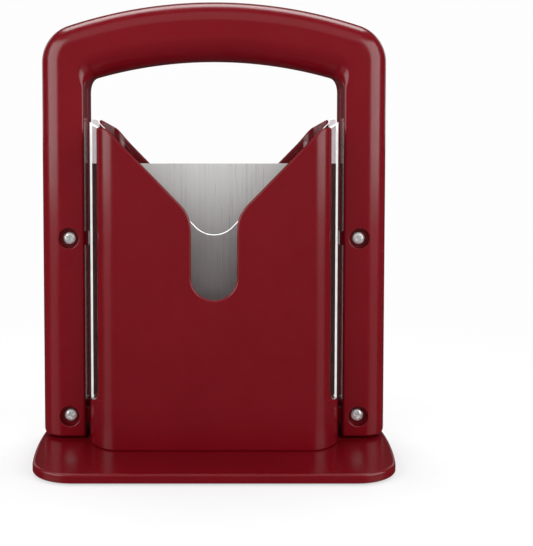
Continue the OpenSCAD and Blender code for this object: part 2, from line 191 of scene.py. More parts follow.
def round_low_edges(obj, level, width, lift=None):
    """Rounds the sharp edges that lie flat at this height, after lift has moved their points."""
    mesh = obj.data
    bm = bmesh.new()
    bm.from_mesh(mesh)
    low = {v for v in bm.verts if abs(v.co.z - level * MM) < 1e-6}
    rims = [e for e in bm.edges if e.verts[0] in low and e.verts[1] in low and e.calc_face_angle(0) > 0.5]
    if lift:
        for v in low:
            lift(v)
    bmesh.ops.bevel(bm, geom=rims, offset=width * MM, segments=5, profile=0.5, affect="EDGES")
    bm.to_mesh(mesh)
    bm.free()
    mesh.shade_smooth()
    mesh.set_sharp_from_angle(angle=radians(40))


def piece(obj, nodes, body, slot, *materials):
    """Puts a finished object in the place of its nodes, with its body and materials. slot is not used."""
    for m in materials:
        obj.data.materials.append(m)
    weighted = obj.modifiers.new("normals", "WEIGHTED_NORMAL")
    weighted.keep_sharp = True
    weighted.weight = 60
    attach(obj, body)
    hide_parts(*nodes)
    return obj


# Materials


class Nodes:
    def __init__(self, name):
        self.material = bpy.data.materials.new(name)
        self.material.use_nodes = True
        self.tree = self.material.node_tree
        self.tree.nodes.clear()
        self.coords = self.add("TexCoord")

    def add(self, kind, **values):
        node = self.tree.nodes.new("ShaderNode" + kind)
        for key, value in values.items():
            key = key.replace("_", " ")
            socket = node.inputs.get(key.title()) or node.inputs.get(key.capitalize())
            if isinstance(value, bpy.types.NodeSocket):
                self.tree.links.new(value, socket)
            else:
                socket.default_value = value
        return node

    def place(self, scale):
        node = self.add("Mapping", vector=self.coords.outputs["Object"])
        node.inputs["Scale"].default_value = scale
        return node.outputs["Vector"]

    def noise(self, scale, detail, stretch=(1, 1, 1)):
        return self.add("TexNoise", vector=self.place(stretch), scale=scale, detail=detail).outputs["Fac"]

    def span(self, value, low, high, start=0.3, end=0.7):
        """Turns a value that runs from start to end into one that runs from low to high."""
        node = self.add("MapRange", value=value)
        for key, v in (("From Min", start), ("From Max", end), ("To Min", low), ("To Max", high)):
            node.inputs[key].default_value = v
        return node.outputs["Result"]

    def mix(self, factor, a, b):
        node = self.tree.nodes.new("ShaderNodeMix")
        node.data_type = "RGBA"
        self.tree.links.new(factor, node.inputs["Factor"])
        for socket, value in ((node.inputs[6], a), (node.inputs[7], b)):
            if isinstance(value, bpy.types.NodeSocket):
                self.tree.links.new(value, socket)
            else:
                socket.default_value = (*value, 1)
        return node.outputs[2]

    def bump(self, height, strength, distance, normal=None):
        node = self.add("Bump", height=height)
        node.inputs["Strength"].default_value = strength
        node.inputs["Distance"].default_value = distance
        if normal is not None:
            self.tree.links.new(normal, node.inputs["Normal"])
        return node.outputs["Normal"]

    def blend(self, factor, a, b):
        """Shader a where the factor is 0, b where it is 1."""
        node = self.add("MixShader", fac=factor)
        self.tree.links.new(a, node.inputs[1])
        self.tree.links.new(b, node.inputs[2])
        return node.outputs[0]

    def surface(self, shader):
        out = self.tree.nodes.new("ShaderNodeOutputMaterial")
        self.tree.links.new(shader, out.inputs["Surface"])
        return self.material

    def principled(self, color, roughness, normal, **values):
        node = self.add("BsdfPrincipled", roughness=roughness)
        self.tree.links.new(color, node.inputs["Base Color"])
        self.tree.links.new(normal, node.inputs["Normal"])
        for key, value in values.items():
            socket = node.inputs[key.replace("_", " ")]
            if isinstance(value, bpy.types.NodeSocket):
                self.tree.links.new(value, socket)
            else:
                socket.default_value = value
        return node.outputs["BSDF"]


def red_plastic(name, deep, lit, rough_low, rough_high):
    n = Nodes(name)
    flow = n.noise(26, 3)
    grain = n.noise(2600, 2)
    color = n.mix(n.span(flow, 0, 1), deep, lit)
    rough = n.span(n.noise(140, 4), rough_low, rough_high)
    waves = n.bump(n.noise(34, 1), 0.05, 0.0006)
    normal = n.bump(grain, 0.05, 0.00005, waves)
    return n.surface(n.principled(color, rough, normal, IOR=1.46, Specular_IOR_Level=0.5))


# Distance from the middle where the blade's painted shade starts, and where it is fully dark
SHADE_PAINT_FROM, SHADE_PAINT_FULL = 62.0, 66.5


def brushed_steel(name, dark, light, lean, paint_end_shade=False):
    """Steel with its grain along lean. The last flag paints shade on the two ends, which lie between the
    red walls, in a dark red that also stands for a painted reflection of those walls.
    """
    n = Nodes(name)
    streak = n.noise(2200, 3, lean)
    broad = n.noise(260, 2, lean)
    cloud = n.noise(30, 2)
    color = n.mix(n.span(streak, 0, 1, 0.25, 0.75), dark, light)
    color = n.mix(n.span(broad, 0, 0.35), color, light)
    if paint_end_shade:
        place = n.add("SeparateXYZ", vector=n.coords.outputs["Object"])
        out = n.add("Math", value=place.outputs["X"])
        out.operation = "ABSOLUTE"
        painted_end_shade = n.span(out.outputs[0], 0, 1, SHADE_PAINT_FROM * MM, SHADE_PAINT_FULL * MM)
        # Painted shade with a painted red reflection: the ends turn dark red towards the legs.
        color = n.mix(painted_end_shade, color, (0.13, 0.05, 0.05))
    rough = n.add("Math", value=n.span(streak, 0.26, 0.42))
    rough.operation = "ADD"
    n.tree.links.new(n.span(cloud, -0.03, 0.03), rough.inputs[1])
    normal = n.bump(streak, 0.16, 0.00002)
    shape = n.add("NewGeometry")
    across = n.tree.nodes.new("ShaderNodeVectorMath")
    across.operation = "CROSS_PRODUCT"
    n.tree.links.new(shape.outputs["Normal"], across.inputs[0])
    across.inputs[1].default_value = (0, 0, 1)
    shader = n.principled(color, rough.outputs[0], normal, Metallic=0.3, Anisotropic=0.7,
                          Tangent=across.outputs[0])
    return n.surface(shader)


def chrome(name):
    n = Nodes(name)
    color = n.mix(n.span(n.noise(700, 2), 0, 1), (0.84, 0.84, 0.85), (0.95, 0.95, 0.95))
    rough = n.span(n.noise(1800, 3), 0.12, 0.26)
    return n.surface(n.principled(color, rough, n.bump(n.noise(2400, 2), 0.08, 0.00003), Metallic=0.55))


def rubber(name):
    n = Nodes(name)
    color = n.mix(n.span(n.noise(300, 3), 0, 1), (0.018, 0.018, 0.019), (0.05, 0.05, 0.052))
    rough = n.span(n.noise(900, 2), 0.65, 0.9)
    return n.surface(n.principled(color, rough, n.bump(n.noise(1600, 3), 0.25, 0.0001)))


def clear_plastic(name, tint, gloss):
    """Walls that are seen through: a tinted clear layer with a thin glossy one."""
    n = Nodes(name)
    haze = n.noise(60, 3)
    see = n.tree.nodes.new("ShaderNodeBsdfTransparent")
    n.tree.links.new(n.mix(n.span(haze, 0, 1), tuple(0.97 * t for t in tint), tint), see.inputs["Color"])
    shine = n.add("BsdfGlossy", roughness=n.span(haze, 0.05, 0.11))
    share = n.span(n.noise(400, 2), 0.8 * gloss, 1.2 * gloss)
    return n.surface(n.blend(share, see.outputs[0], shine.outputs[0]))


def painted_glow_edge(name, low, high):
    """The moulded edges of clear walls, which gather light; that light is painted as a glow, an emission in
    the edge's own colour.
    """
    n = Nodes(name)
    color = n.mix(n.span(n.noise(200, 3), 0, 1), low, high)
    rough = n.span(n.noise(500, 2), 0.25, 0.4)
    shine = n.bump(n.noise(1500, 2), 0.1, 0.00003)
    # The emission is a painted glow: the edge gives off light though it is no lamp.
    shader = n.principled(color, rough, shine, IOR=1.49, Emission_Color=color, Emission_Strength=0.7)
    return n.surface(shader)


BODY = red_plastic("body_plastic", (0.140, 0.0014, 0.0050), (0.154, 0.0017, 0.0058), 0.21, 0.27)
FRAME = red_plastic("frame_plastic", (0.150, 0.0016, 0.0056), (0.164, 0.0020, 0.0066), 0.19, 0.25)
# The blade's steel carries painted shade and a painted red reflection on its two ends.
STEEL = brushed_steel("blade_steel", (0.65, 0.65, 0.65), (0.77, 0.77, 0.76), (1, 1, 0.012), True)
GROUND = brushed_steel("ground_steel", (0.80, 0.80, 0.80), (0.95, 0.95, 0.95), (0.02, 1, 1))
CHROME = chrome("screw_steel")
RUBBER = rubber("foot_rubber")
CLEAR = clear_plastic("clear_plastic", (0.965, 0.95, 0.955), 0.022)
FLANGE = clear_plastic("clear_flange", (0.86, 0.83, 0.84), 0.03)
GLOW_EDGE = painted_glow_edge("clear_edge_painted_glow", (0.74, 0.76, 0.74), (0.90, 0.91, 0.89))


# Shells and guards: walls that follow a plan, seen from above, and end in a rounded edge

# How far the side walls turn outwards, and how steep the notch is
TURN = radians(8)
SLOPE = 1.025
SHELL_TOP, SHELL_THICK, SHELL_ROUND, SHELL_END = 181.4, 2.6, 1.25, 4.2
REAR_RISE, REAR_PEAK = 2.4, 186.2
SIDE_FALL, REAR_FALL = 0.1, 0.06
SLOT_HALF, SLOT_LOW, SLOT_BEND = 12.3, 86.8, 18.0
NOTCH_X, NOTCH_Z = 18.172, 138.1
FOOT_ROUND = 0.9
CORNER, CORNER_R = (51.74, -23.0), 12.0
# Where the lower part leaves the corner, and the wider curve that it takes from there
LEAVE = radians(35)
LOW_HALF, LOW_TOP, LOW_END = 69.9, 27.0, 0.12
LOW_FROM = (CORNER[0] + CORNER_R * sin(LEAVE), CORNER[1] - CORNER_R * cos(LEAVE))
LOW_R = (LOW_HALF - LOW_FROM[0]) / (1 - sin(LEAVE))
LOW_C = (LOW_HALF - LOW_R, LOW_FROM[1] + LOW_R * cos(LEAVE))
LEDGE_SLOPE, LEDGE_NEAR, LEDGE_FAR = 0.19, 4, 28
BASE_LOW, BASE_TOP = 0.8, 5.6


def plan_point(q, inset, end):
    """A point on the upper plan, from the middle of the front at q = 0 to y = -end at q = 3."""
    (cx, cy), r = CORNER, CORNER_R - inset
    if q <= 1:
        return (cx * q, cy - r)
    if q <= 2:
        a = -pi / 2 + (pi / 2 - TURN) * (q - 1)
        return (cx + r * cos(a), cy + r * sin(a))
    x, y = cx + r * cos(TURN), cy - r * sin(TURN)
    run = (-end - y) * (q - 2)
    return (x + run * tan(TURN), y + run)


def low_point(q, inset, end):
    """The same for the closed lower part, which leaves the corner in a wider curve."""
    leave = 1 + LEAVE / (pi / 2 - TURN)
    if q <= leave:
        return plan_point(q, inset, end)
    cx, cy = LOW_C
    if q <= 2:
        a = -(pi / 2 - LEAVE) * (2 - q) / (2 - leave)
        return (cx + (LOW_R - inset) * cos(a), cy + (LOW_R - inset) * sin(a))
    return (cx + LOW_R - inset, cy + (-end - cy) * (q - 2))


# The ledge on top of the lower part, as (share of the way out, height above the ledge)
LEDGE = [(1, -0.8), (0.98, -0.45), (0.93, -0.18), (0.85, -0.04), (0.75, 0), (0.42, 0.12),
         (0.3, 0.35), (0.2, 0.9), (0.12, 2.0), (0.05, 4.0), (0, 6.5)]
# Height from which a wall only follows the upper plan
ABOVE_LEDGE = 42.0


class Plan:
    """Turns (distance along the plan, height, depth into the wall) into a point."""

    def __init__(self, inset, end):
        self.inset, self.end = inset, end
        marks = [0.0]
        for k in range(3):
            run = [plan_point(k + t / 24, inset, end) for t in range(25)]
            marks.append(marks[-1] + sum(hypot(b[0] - a[0], b[1] - a[1]) for a, b in zip(run, run[1:])))
        self.marks = marks
        self.length = marks[-1]

    def share(self, u):
        for k in range(3):
            if u <= self.marks[k + 1] or k == 2:
                return k + (u - self.marks[k]) / (self.marks[k + 1] - self.marks[k])

    def at(self, u, z, depth, out=0.0, ledge=False):
        """out is the share of the way to the lower part's plan. With ledge, z counts from the ledge."""
        side, q = (-1 if u < 0 else 1), self.share(abs(u))
        x, y = plan_point(q, self.inset + depth, self.end)
        if out:
            x, y = lerp((x, y), low_point(q, self.inset + depth, LOW_END), out)
        if ledge:
            z += LOW_TOP + LEDGE_SLOPE * (min(-y, LEDGE_FAR) - LEDGE_NEAR) - depth * min(1, 4 * out)
        return (side * x, y, z)

    def spot(self, u):
        return plan_point(self.share(u), self.inset, self.end)


def wall(plan, edge, thick, rounding, bottom, spread_to=None, steps=4, low=False, back=False):
    """A wall below an edge that runs from the middle outwards in (along, height) coordinates.
    spread_to = (first, last, from, to) moves the feet of those columns apart, where the edge runs upright.
    low puts the wall on its closed lower part."""
    side = plan.length
    steep = (edge[-1][1] - edge[-3][1]) / (edge[-1][0] - edge[-3][0])
    whole = [(-u, z) for u, z in reversed(edge[1:])] + edge
    steps_in = [(-a, -b) for a, b in inward(whole)]
    corner = (-1, -steep - sqrt(1 + steep * steep))
    steps_in[0], steps_in[-1] = (-corner[0], corner[1]), corner
    rims = []
    for k in range(steps + 1):
        a = pi / 2 * k / steps
        rims.append((rounding * (1 - sin(a)), rounding * (1 - cos(a))))
    rims += [(inset, thick - depth) for inset, depth in reversed(rims)]

    tops = [(u + n[0] * rounding, z + n[1] * rounding) for (u, z), n in zip(whole, steps_in)]
    feet = [u for u, z in tops]
    if spread_to:
        first, last, low_u, high_u = spread_to
        middle = len(edge) - 1
        for i in range(first, last + 1):
            u = low_u + (high_u - low_u) * (i - first) / (last - first)
            feet[middle + i], feet[middle - i] = u, -u
    start = (bottom, 1.0, False) if low else (bottom, 0.0, False)
    rows_low = [start]
    base = bottom
    if low:
        base = ABOVE_LEDGE
        rows_low += [(z, 1.0, False) for z in (11, 17, 22)] + [(z, out, True) for out, z in LEDGE]
        rows_low.append((base, 0.0, False))
    shares = [0.2, 0.4, 0.6, 0.8, 1.0]
    shape = Shape()
    for depth in (0, thick):
        columns = []
        for (u, z), foot in zip(tops, feet):
            column = [plan.at(foot, h, depth, out, ledge) for h, out, ledge in rows_low]
            column += [plan.at(foot + (u - foot) * s, base + (z - base) * s, depth) for s in shares]
            columns.append(column)
        shape.grid(columns)
    upright = rows_low + [(base + (tops[-1][1] - base) * s, 0.0, False) for s in shares[:-1]]
    shape.kind = ON_EDGE
    path = [(-side, (1, 0), row) for row in upright]
    path += [(u, n, (z, 0.0, False)) for (u, z), n in zip(whole, steps_in)]
    path += [(side, (-1, 0), row) for row in reversed(upright)]
    rows = []
    for inset, depth in rims:
        rows.append([plan.at(u + n[0] * inset, z + n[1] * inset, depth, out, ledge)
                     for u, n, (z, out, ledge) in path])
    shape.grid(rows)
    shape.kind = ON_WALL
    ends = [-side + rounding] + feet[1:-1] + [side - rounding]
    shape.grid([[plan.at(foot, bottom, depth, start[1]) for foot in ends] for depth in (0, thick)])
    for sign in (-1, 1):
        shape.face([plan.at(sign * (side - inset), bottom, depth, start[1]) for inset, depth in rims])
    if back:
        shape.points = [(x, -y, z) for x, y, z in shape.points]
    return shape


def below(a, b):
    """The lower of two heights, with a rounded change from one to the other."""
    reach = 3.0
    near = max(0, reach - abs(a - b))
    return min(a, b) - near * near / (4 * reach)


def side_top(plan, u, back):
    """Height of a shell's upper edge outside the notch, which falls away from the blade."""
    peak, fall = (REAR_PEAK, REAR_FALL) if back else (SHELL_TOP, SIDE_FALL)
    return peak + (plan.spot(u)[1] + plan.end) * fall


def shell_edge(plan, back):
    """Half of a shell's notch and top edge, from the slot's lowest point to the wall's end.
    The first and last column of its upright stretch come along."""
    rise = REAR_RISE if back else 0
    half, low = SLOT_HALF, SLOT_LOW + SLOT_HALF
    turn = 90 - degrees(atan(SLOPE))
    bend_z = NOTCH_Z + rise - (NOTCH_X - half) * SLOPE - SLOT_BEND * tan(radians(turn / 2))
    slot = arc(0, low, half, -90, 0, 14)
    upright = [(half, z) for z in spread(low, bend_z, 4)]
    bend = arc(half + SLOT_BEND, bend_z, SLOT_BEND, 180, 180 - turn, 8)[1:]
    start, near_corner = bend[-1], 50
    ups = spread(start[0], near_corner, 8) + [plan.marks[1]]
    ups += spread(plan.marks[1], plan.marks[2], 14) + spread(plan.marks[2], plan.length, 4)
    top = []
    for u in ups:
        straight = start[1] + (plan.spot(u)[0] - start[0]) * SLOPE
        top.append((u, below(side_top(plan, u, back), straight)))
    steep = (len(slot) - 1, len(slot + upright + bend))
    return slot + upright + bend + top, steep


def make_shell(name, back):
    plan = Plan(0, SHELL_END)
    edge, (first, last) = shell_edge(plan, back)
    spread_to = (first, last, edge[first][0] + SHELL_ROUND, edge[last][0] + SHELL_ROUND * 0.7)
    shape = wall(plan, edge, SHELL_THICK, SHELL_ROUND, BASE_TOP, spread_to, low=True, back=back)
    shape.kinds = [ON_WALL] * len(shape.kinds)
    obj = shape.object(name)
    round_low_edges(obj, BASE_TOP, FOOT_ROUND)
    return piece(obj, [name], "base", "body_plastic", BODY)


GUARD_INSET, GUARD_END, GUARD_THICK, GUARD_HIDE = 3.0, 4.05, 1.6, 1.5
GUARD_LOW, GUARD_R = 121.8, 13.6
FLANGE_IN, FLANGE_OUT, FLANGE_RISE, FLANGE_DROP = 61.5, 70.6, 3.0, 6.8
FLANGE_FRONT, FLANGE_BACK, FLANGE_BEAD = -4.0, -2.4, 1.0


def flange(back, rise):
    """The outline of one side flange, seen from the front, anticlockwise.
    Its top is slanted on the front guard and round on the rear one."""
    peak, foot = SHELL_TOP + FLANGE_RISE + rise, LOW_TOP - 1.5
    top = [(FLANGE_OUT, peak)]
    if back:
        r = 2.4
        top += arc(FLANGE_OUT - 2.2, peak - r, r, 90, 180, 6)
    else:
        top += [(FLANGE_OUT - 5.6, peak - 3.3)]
    return [(FLANGE_IN, foot), (FLANGE_OUT, foot)] + top + [(FLANGE_IN, peak - FLANGE_DROP)]


def slab(shape, outline, y0, y1, rounding, bead):
    """A flange between y0 and y1 with rounded edges. The outline runs anticlockwise seen from the front.
    The edge's material, which carries a painted glow, reaches in over the faces by bead."""
    steps = inward(outline, closed=True)
    depth = [(1.0, y0), (0.3, y0 + 0.3 * rounding), (0.0, y0 + rounding)]
    depth += [(0.0, y1 - rounding), (0.3, y1 - 0.3 * rounding), (1.0, y1)]
    if bead:
        depth = [(bead / rounding, y0)] + depth + [(bead / rounding, y1)]
    rows = [[(x + n[0] * k * rounding, y, z + n[1] * k * rounding) for (x, z), n in zip(outline, steps)]
            for k, y in depth]
    shape.kind = ON_EDGE
    shape.grid(rows, closed=True)
    shape.kind = ON_FLANGE
    shape.face(rows[0])
    shape.face(rows[-1])


def make_guard(name, back):
    plan = Plan(GUARD_INSET, GUARD_END)
    rise = REAR_RISE if back else 0
    bend = arc(0, GUARD_LOW + rise + GUARD_R, GUARD_R, -90, -90 + degrees(atan(SLOPE)), 10)
    start = bend[-1]
    ups = spread(start[0], plan.marks[1], 12) + spread(plan.marks[1], plan.marks[2], 10)
    ups += spread(plan.marks[2], plan.length, 4)
    edge = list(bend)
    for u in ups:
        straight = start[1] + (plan.spot(u)[0] - start[0]) * SLOPE
        edge.append((u, below(side_top(plan, u, back) - GUARD_HIDE, straight)))
    shape = wall(plan, edge, GUARD_THICK, 0.35, LOW_TOP + 0.3, steps=2, back=back)
    if back:
        shape.kinds = [ON_WALL] * len(shape.kinds)
    sides = Shape()
    outline = flange(back, rise)
    bead = 0 if back else FLANGE_BEAD
    for half in (outline, [(-x, z) for x, z in reversed(outline)]):
        slab(sides, half, FLANGE_FRONT, FLANGE_BACK, 0.3, bead)
    if back:
        sides.points = [(x, -y, z) for x, y, z in sides.points]
    start = len(shape.points)
    shape.points += sides.points
    shape.faces += [[i + start for i in f] for f in sides.faces]
    shape.kinds += sides.kinds
    return piece(shape.object(name), [name], "base", "clear_plastic", CLEAR, GLOW_EDGE, FLANGE)


make_shell("front_shell", False)
make_shell("rear_shell", True)
make_guard("front_guard", False)
make_guard("rear_guard", True)


# Base plate with feet and its screws

FEET = [("foot_front_left", -79.8, -52.3), ("foot_front_right", 79.8, -52.3),
        ("foot_rear_left", -79.8, 52.3), ("foot_rear_right", 79.8, 52.3)]
SHELL_SCREWS = [(x, s * 28.6) for s in (-1, 1) for x in (-50, 0, 50)]
TRAY_SCREWS = [(-34, -13), (34, 13)]
PLATE_HALF, PLATE_DEEP, PLATE_BOW, PLATE_R, PLATE_ROUND = 98.2, 69.1, 285.0, 24.0, 1.3
POCKET_TOP, BELOW = BASE_LOW + 2, -1
FOOT_SEAT_R, SCREW_SEAT_R, SCREW_HOLE_R = 8.2, 3.6, 1.8


def plate_ring(inset, z):
    """The plate's outline: straight front and back, bowed sides and round corners."""
    half, bow, r = PLATE_HALF, PLATE_BOW, PLATE_R
    cy = PLATE_DEEP - r
    cx = half - bow + sqrt((bow - r) ** 2 - cy * cy)
    lean = degrees(atan(cy / (cx - half + bow)))
    right = arc(cx, -cy, r - inset, -90, -lean, 18) + arc(half - bow, 0, bow - inset, -lean, lean, 24)[1:-1]
    right += arc(cx, cy, r - inset, lean, 90, 18)
    return [(x, y, z) for x, y in right] + [(-x, y, z) for x, y in reversed(right)]


def hollow(shape, x, y, wide, deep):
    """A pocket under the plate, with half its width and depth given."""
    shape.box((x - wide, y - deep, BELOW), (x + wide, y + deep, POCKET_TOP))


def make_base():
    rims = [(0.9, BASE_LOW), (0.3, BASE_LOW + 0.15), (0, BASE_LOW + 0.6)]
    for k in range(7):
        a = pi / 2 * k / 6
        rims.append((PLATE_ROUND * (1 - cos(a)), BASE_TOP - PLATE_ROUND * (1 - sin(a))))
    rings = [plate_ring(inset, z) for inset, z in rims]
    shape = Shape()
    shape.grid(rings, closed=True)
    shape.face(rings[0])
    shape.face(rings[-1])
    obj = shape.object("base_plate")
    under = Shape()
    for side in (-1, 1):
        x, y = side * 71.2, side * 53.1
        hollow(under, x, 0, 18, 34)
        hollow(under, 0, y, 56, 10)
    hollow(under, 0, 0, 22, 19)
    cut(obj, under)
    holes = Shape()
    for _, x, y in FEET:
        holes.lathe([(FOOT_SEAT_R, BELOW), (FOOT_SEAT_R, BASE_LOW + 1.4)], along_z(x, y), 64)
    seat = [(SCREW_SEAT_R, BELOW), (SCREW_SEAT_R, POCKET_TOP)]
    seat += [(SCREW_HOLE_R, POCKET_TOP), (SCREW_HOLE_R, BASE_TOP + 1.4)]
    for x, y in SHELL_SCREWS + TRAY_SCREWS:
        holes.lathe(seat, along_z(x, y), 40)
    cut(obj, holes)
    return piece(obj, ["base_plate"], "base", "body_plastic", BODY)


make_base()


def make_foot(name, x, y):
    """A round pad with a groove in its lower face."""
    shape = Shape()
    profile = [(0, 2.2), (8, 2.2), (8, 0.6), (7.85, 0.2), (7.5, 0), (5.6, 0), (5.4, 0.35), (4.6, 0.35)]
    shape.lathe(profile + [(4.4, 0), (0, 0)], along_z(x, y), 64)
    piece(shape.object(name), [name], "base", "foot_rubber", RUBBER)


for name, x, y in FEET:
    make_foot(name, x, y)


def screw_cross(obj, x, z, y, turn):
    """Cuts a cross recess, which narrows inwards, into a screw's head."""
    for k in range(2):
        one = Shape()
        a = radians(turn + 90 * k)
        dx, dz = cos(a), sin(a)
        top = [(-2.15, -0.62), (2.15, -0.62), (2.15, 0.62), (-2.15, 0.62)]
        deep = [(-0.86, -0.3), (0.86, -0.3), (0.86, 0.3), (-0.86, 0.3)]
        rows = [[(x + u * dx - v * dz, y + h, z + u * dz + v * dx) for u, v in outline]
                for outline, h in ((top, -1.0), (top, 0.3), (deep, 1.5))]
        one.grid(rows, closed=True)
        one.face(rows[0])
        one.face(rows[-1])
        cut(obj, one)


# Handle frame

HALF, FRAME_OUT, FRAME_IN, FRAME_TOP, GRIP_TOP = 14.0, 97.8, 72.3, 251.9, 219.0
ARCH_R, CORNER_OUT, GRIP_R, CORNER_IN = 265.0, 22.0, 245.0, 8.0
LEG_LOW, LEG_STUB, LEG_CORNER = 6.8, -20.0, 3.0
ROUND_OUT, ROUND_IN, ROUND_GRIP, ROUND_FOOT = 13.5, 1.6, 13.0, 1.3
SCREW_X, SCREW_ZS = 81.2, (("upper", 118.7), ("lower", 18.3))
RECESS_R, RECESS_LIP, RECESS_Y = 5.65, 0.55, -9.0
LEG_STEPS = (60, 100, 150, 190)


def frame_loop():
    """The frame's outline seen from the front, anticlockwise, with the edge rounding at each point."""
    arch_c, grip_c = FRAME_TOP - ARCH_R, GRIP_TOP - GRIP_R
    cx = FRAME_OUT - CORNER_OUT
    cz = arch_c + sqrt((ARCH_R - CORNER_OUT) ** 2 - cx * cx)
    top = degrees(atan((cz - arch_c) / cx))
    ix = FRAME_IN - CORNER_IN
    iz = grip_c + sqrt((GRIP_R - CORNER_IN) ** 2 - ix * ix)
    low = degrees(atan((iz - grip_c) / ix))
    right = [(FRAME_IN, LEG_STUB, ROUND_IN), (FRAME_OUT, LEG_STUB, ROUND_OUT)]
    right += [(FRAME_OUT, z, ROUND_OUT) for z in LEG_STEPS]
    right += [(x, z, ROUND_OUT) for x, z in arc(cx, cz, CORNER_OUT, 0, top, 20)]
    right += [(x, z, ROUND_OUT) for x, z in arc(0, arch_c, ARCH_R, top, 90, 28)[1:]]
    inner = [(x, z, ROUND_GRIP) for x, z in arc(0, grip_c, GRIP_R, 90, low, 24)]
    bend = arc(ix, iz, CORNER_IN, low, 0, 12)[1:]
    for i, (x, z) in enumerate(bend):
        inner.append((x, z, ROUND_GRIP + (ROUND_IN - ROUND_GRIP) * smooth((i + 1) / len(bend))))
    inner += [(FRAME_IN, z, ROUND_IN) for z in reversed(LEG_STEPS)]
    left = [(-x, z, r) for x, z, r in reversed(right[:-1])]
    left_inner = [(-x, z, r) for x, z, r in reversed(inner[1:])]
    return right + left + left_inner + inner


def half_frame(back):
    loop = frame_loop()
    steps = inward([(x, z) for x, z, r in loop], closed=True)
    way = 1 if back else -1
    rims = [(0.35, 0.0, 0.0), (0.0, 0.3, 0.0)]
    rims += [(None, None, pi / 2 * k / 18) for k in range(19)]
    rows = []
    for inset, depth, a in rims:
        row = []
        for (x, z, r), n in zip(loop, steps):
            i = r * (1 - cos(a)) if inset is None else inset
            d = HALF - r + r * sin(a) if inset is None else depth
            row.append((x + n[0] * i, way * d, z + n[1] * i))
        rows.append(row)
    shape = Shape()
    shape.grid(rows, closed=True)
    shape.face(rows[0])
    shape.face(rows[-1])
    obj = shape.object("handle_rear" if back else "handle_front")
    stubs = Shape()
    stubs.box((-FRAME_OUT - 22, -30, -60), (FRAME_OUT + 22, 30, LEG_LOW))
    cut(obj, stubs)
    round_feet(obj)
    return obj


def round_feet(obj):
    """Rounds the legs' lower ends, which the cut left sharp."""

    def lift(v):
        over = abs(v.co.x) / MM - (FRAME_OUT - LEG_CORNER)
        if over > 0:
            v.co.z += (LEG_CORNER - sqrt(max(0, LEG_CORNER ** 2 - over * over))) * MM

    round_low_edges(obj, LEG_LOW, ROUND_FOOT, lift)


def make_frame():
    obj = half_frame(False)
    holes = Shape()
    r, lip, y = RECESS_R, RECESS_LIP, RECESS_Y
    profile = [(0, y), (r - 0.55, y), (r - 0.2, y - 0.12), (r, y - 0.5)]
    for k in range(6):
        a = pi / 2 * k / 5
        profile.append((r + lip * (1 - cos(a)), -HALF + lip - lip * sin(a)))
    profile += [(r + lip, -HALF - 1), (0, -HALF - 1)]
    for side in (-1, 1):
        for _, z in SCREW_ZS:
            holes.lathe(profile, along_y(side * SCREW_X, z), 64)
    cut(obj, holes)
    piece(obj, ["handle_front"], "carriage", "frame_plastic", FRAME)
    piece(half_frame(True), ["handle_rear"], "carriage", "frame_plastic", FRAME)


make_frame()

def make_screw(name, x, z, turn):
    """A leg screw: a shank with a tip, and a domed head with a cross recess turned by turn."""
    r, dome_y, dome = 3.45, -10.2, 1.55
    peak = dome_y - dome
    profile = [(0, 8.5), (1.0, 8.5), (1.5, 7.5), (1.5, -9.0), (3.3, -9.0), (r, -9.15)]
    for a in (90, 78, 66, 54, 42, 30, 18, 9):
        profile.append((r * sin(radians(a)), dome_y - dome * cos(radians(a))))
    shape = Shape()
    shape.lathe(profile + [(0, peak)], along_y(x, z), 48)
    obj = shape.object(name, 40)
    screw_cross(obj, x, z, peak, turn)
    piece(obj, [name], "carriage", "screw_steel", CHROME)


for side, word, turns in ((-1, "left", (62, 20)), (1, "right", (38, 75))):
    for (level, z), turn in zip(SCREW_ZS, turns):
        make_screw("handle_screw_" + level + "_" + word, side * SCREW_X, z, turn)


# Blade with its ground scalloped edge

BLADE_HALF, BLADE_TOP, BLADE_LOW, BLADE_OUT = 0.6, 161.0, 11.0, 87.0
EDGE_HALF, EDGE_LOW, EDGE_RISE, EDGE_THIN, SCALLOPS, CHAMFER = 57.0, 9.6, 10.4, 0.06, 12, 0.12
PIN_X, PIN_R = 74.9, 1.0


def edge_height(x, lift):
    """Height of the cutting edge, or with lift = 1 of the line where its ground face starts."""
    u = abs(x) / EDGE_HALF
    t = (u * SCALLOPS) % 1.0
    scallop = 4 * t * (1 - t)
    return EDGE_LOW + u * EDGE_RISE + 1.1 * scallop + lift * (4.6 + 1.2 * scallop)


